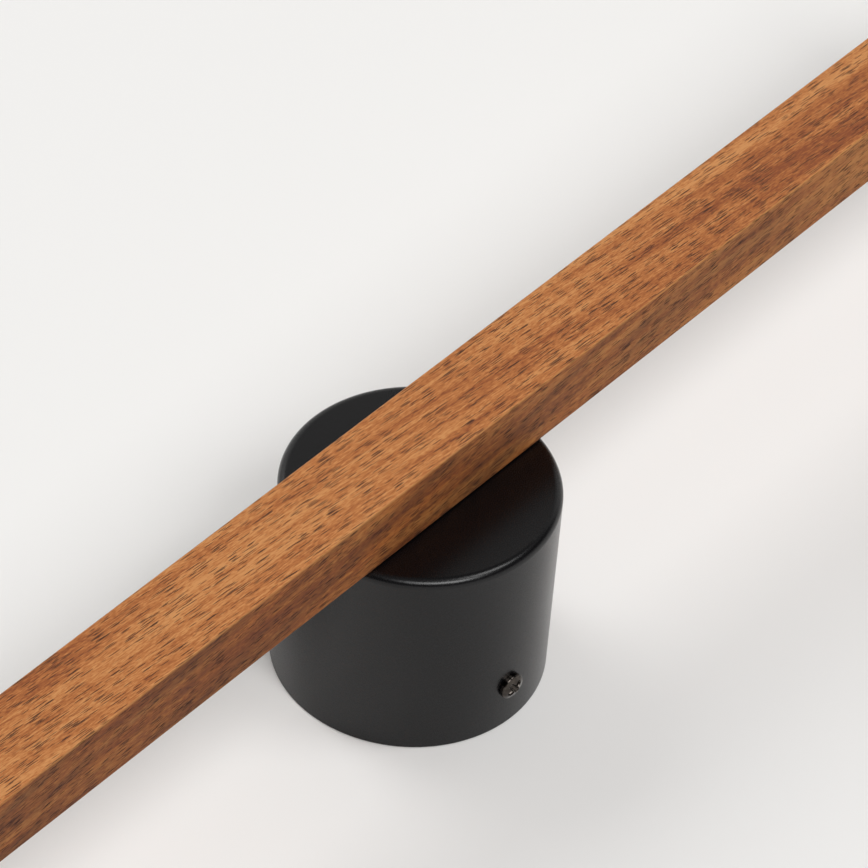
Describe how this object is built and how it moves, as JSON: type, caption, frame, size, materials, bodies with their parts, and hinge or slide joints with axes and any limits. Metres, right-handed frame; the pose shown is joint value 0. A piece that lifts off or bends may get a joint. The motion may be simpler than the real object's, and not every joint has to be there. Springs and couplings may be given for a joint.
{
  "type": "led wall light",
  "caption": "Linear LED wall light: a slim wooden bar with a recessed light strip on a friction swivel, carried by a deep round black canopy with its driver inside.",
  "frame": {"origin": "centre of the wall face, on the swivel's axis", "axes": "+Z points out of the wall along the swivel's axis, +X along the bar, and the light leaves the bar towards +Y"},
  "size_m": [0.6, 0.085, 0.0885],
  "materials": {
    "black_paint": "fine-textured matt black powder coat",
    "black_screw": "black-nickel plated steel",
    "zinc_steel": "zinc-plated steel",
    "brass": "plain brass",
    "nylon": "natural nylon",
    "rubber": "black rubber",
    "white_plastic": "matt white plastic",
    "board": "green circuit board",
    "component": "dark moulded components",
    "lead_brown": "brown PVC lead",
    "lead_earth": "green and yellow PVC lead",
    "lead_white": "white twin lead",
    "oiled_wood": "oiled open-pored hardwood",
    "aluminium": "plain rolled aluminium",
    "led_strip": "white flexible circuit",
    "led_phosphor": "yellow phosphor",
    "opal": "satin opal acrylic"
  },
  "bodies": {
    "wall_base": {"canopy": "black_paint", "canopy_screws": "black_screw", "wall_plate": "zinc_steel", "cable_grommet": "rubber", "terminal_block": "white_plastic", "terminal_inserts": "brass", "terminal_screws": "zinc_steel", "terminal_fixing_screw": "zinc_steel", "earth_screw": "brass", "earth_tag": "brass", "earth_lead": "lead_earth", "mains_leads": "lead_brown", "driver_case": "white_plastic", "driver_lid": "white_plastic", "driver_board": "board", "driver_components": "component", "driver_screws": "zinc_steel", "output_cable": "lead_white", "swivel_bush": "nylon", "stop_pin": "zinc_steel", "thrust_washer": "nylon"},
    "light_bar": {"wood_bar": "oiled_wood", "diffuser": "opal", "heat_sink": "aluminium", "led_strips": "led_strip", "led_chips": "led_phosphor", "led_cable": "lead_white", "strip_tails": "brass", "anchor_plate": "zinc_steel", "anchor_screws": "zinc_steel", "stem": "zinc_steel", "stop_washer": "zinc_steel", "disc_spring": "zinc_steel", "stem_nut": "zinc_steel", "lock_nut": "zinc_steel"}
  },
  "joints": [
    {"name": "bar_swivel", "type": "hinge", "parent": "wall_base", "child": "light_bar", "pos_m": [0, 0, 0.066], "axis": [0, 0, 1], "range_deg": [-165, 165]}
  ]
}
